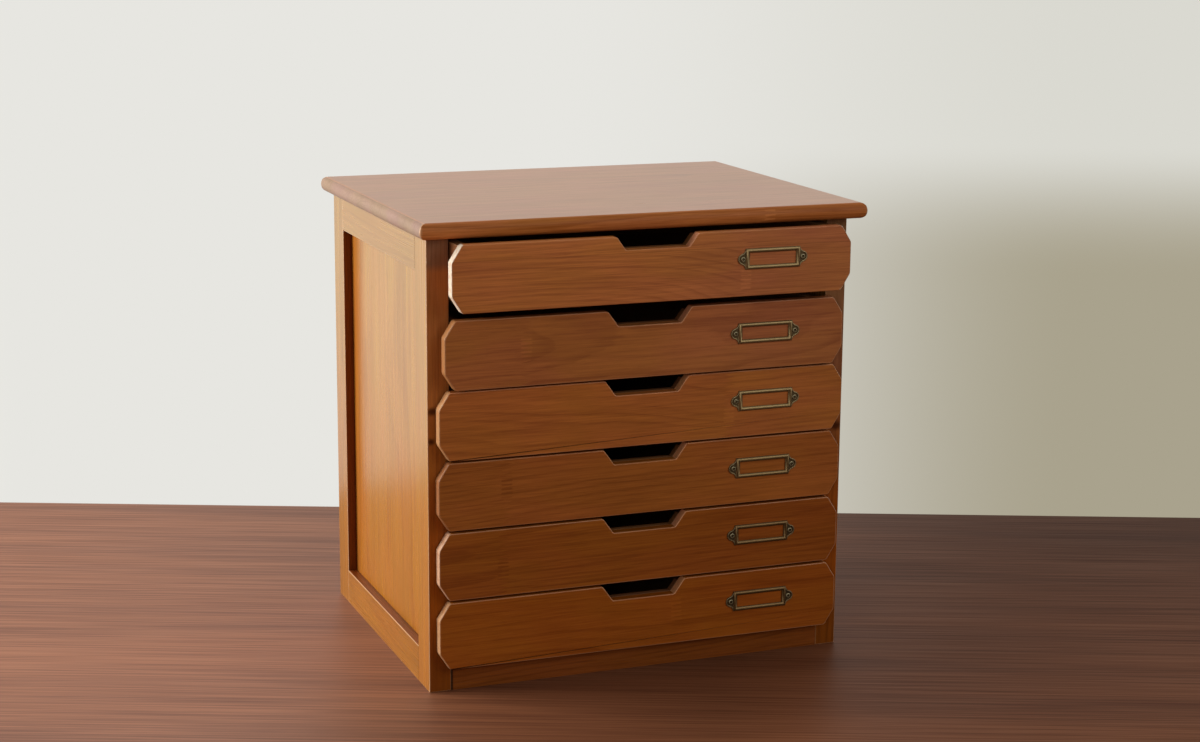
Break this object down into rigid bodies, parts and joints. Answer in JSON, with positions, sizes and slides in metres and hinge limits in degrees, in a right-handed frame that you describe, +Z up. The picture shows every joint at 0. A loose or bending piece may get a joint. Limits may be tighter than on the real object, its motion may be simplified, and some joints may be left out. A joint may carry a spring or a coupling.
{
  "type": "desktop drawer chest",
  "caption": "Wooden desktop chest with a stack of shallow paper drawers, finger notches, brass label holders and an overhanging rounded top board.",
  "frame": {"origin": "middle of the footprint of the whole chest as it stands, at table height, with the three upper drawers pulled out a little", "axes": "+X to the right seen from the front, +Y from the front to the back, +Z up"},
  "size_m": [0.38, 0.314, 0.38],
  "materials": {
    "top_wood": "brown stain under satin varnish",
    "cabinet_wood": "light brown stain under satin varnish",
    "front_wood": "reddish brown stain under satin varnish",
    "drawer_box_wood": "thin stain, matte",
    "panel_ply": "thin plywood, matte",
    "antique_brass": "antique brass, darkened in the hollows",
    "screw_steel": "zinc plated"
  },
  "bodies": {
    "cabinet": {"top_board": "top_wood", "left_front_stile": "cabinet_wood", "left_rear_stile": "cabinet_wood", "left_top_rail": "cabinet_wood", "left_bottom_rail": "cabinet_wood", "left_panel": "cabinet_wood", "right_front_stile": "cabinet_wood", "right_rear_stile": "cabinet_wood", "right_top_rail": "cabinet_wood", "right_bottom_rail": "cabinet_wood", "right_panel": "cabinet_wood", "front_bottom_rail": "cabinet_wood", "rear_cross_rails": "cabinet_wood", "back_panel": "panel_ply", "bottom_panel": "panel_ply", "left_runners": "drawer_box_wood", "right_runners": "drawer_box_wood", "runner_screws": "screw_steel"},
    "drawer_1": {"drawer_1_front": "front_wood", "drawer_1_box_front": "drawer_box_wood", "drawer_1_left_side": "drawer_box_wood", "drawer_1_right_side": "drawer_box_wood", "drawer_1_back": "drawer_box_wood", "drawer_1_bottom": "panel_ply", "drawer_1_label_holder": "antique_brass"},
    "drawer_2": {"drawer_2_front": "front_wood", "drawer_2_box_front": "drawer_box_wood", "drawer_2_left_side": "drawer_box_wood", "drawer_2_right_side": "drawer_box_wood", "drawer_2_back": "drawer_box_wood", "drawer_2_bottom": "panel_ply", "drawer_2_label_holder": "antique_brass"},
    "drawer_3": {"drawer_3_front": "front_wood", "drawer_3_box_front": "drawer_box_wood", "drawer_3_left_side": "drawer_box_wood", "drawer_3_right_side": "drawer_box_wood", "drawer_3_back": "drawer_box_wood", "drawer_3_bottom": "panel_ply", "drawer_3_label_holder": "antique_brass"},
    "drawer_4": {"drawer_4_front": "front_wood", "drawer_4_box_front": "drawer_box_wood", "drawer_4_left_side": "drawer_box_wood", "drawer_4_right_side": "drawer_box_wood", "drawer_4_back": "drawer_box_wood", "drawer_4_bottom": "panel_ply", "drawer_4_label_holder": "antique_brass"},
    "drawer_5": {"drawer_5_front": "front_wood", "drawer_5_box_front": "drawer_box_wood", "drawer_5_left_side": "drawer_box_wood", "drawer_5_right_side": "drawer_box_wood", "drawer_5_back": "drawer_box_wood", "drawer_5_bottom": "panel_ply", "drawer_5_label_holder": "antique_brass"},
    "drawer_6": {"drawer_6_front": "front_wood", "drawer_6_box_front": "drawer_box_wood", "drawer_6_left_side": "drawer_box_wood", "drawer_6_right_side": "drawer_box_wood", "drawer_6_back": "drawer_box_wood", "drawer_6_bottom": "panel_ply", "drawer_6_label_holder": "antique_brass"}
  },
  "joints": [
    {"name": "drawer_1_slide", "type": "slide", "parent": "cabinet", "child": "drawer_1", "axis": [0, -1, 0], "range_m": [-0.0207, 0.1593]},
    {"name": "drawer_2_slide", "type": "slide", "parent": "cabinet", "child": "drawer_2", "axis": [0, -1, 0], "range_m": [-0.0067, 0.1733]},
    {"name": "drawer_3_slide", "type": "slide", "parent": "cabinet", "child": "drawer_3", "axis": [0, -1, 0], "range_m": [-0.0022, 0.1778]},
    {"name": "drawer_4_slide", "type": "slide", "parent": "cabinet", "child": "drawer_4", "axis": [0, -1, 0], "range_m": [0, 0.18]},
    {"name": "drawer_5_slide", "type": "slide", "parent": "cabinet", "child": "drawer_5", "axis": [0, -1, 0], "range_m": [0, 0.18]},
    {"name": "drawer_6_slide", "type": "slide", "parent": "cabinet", "child": "drawer_6", "axis": [0, -1, 0], "range_m": [0, 0.18]}
  ]
}
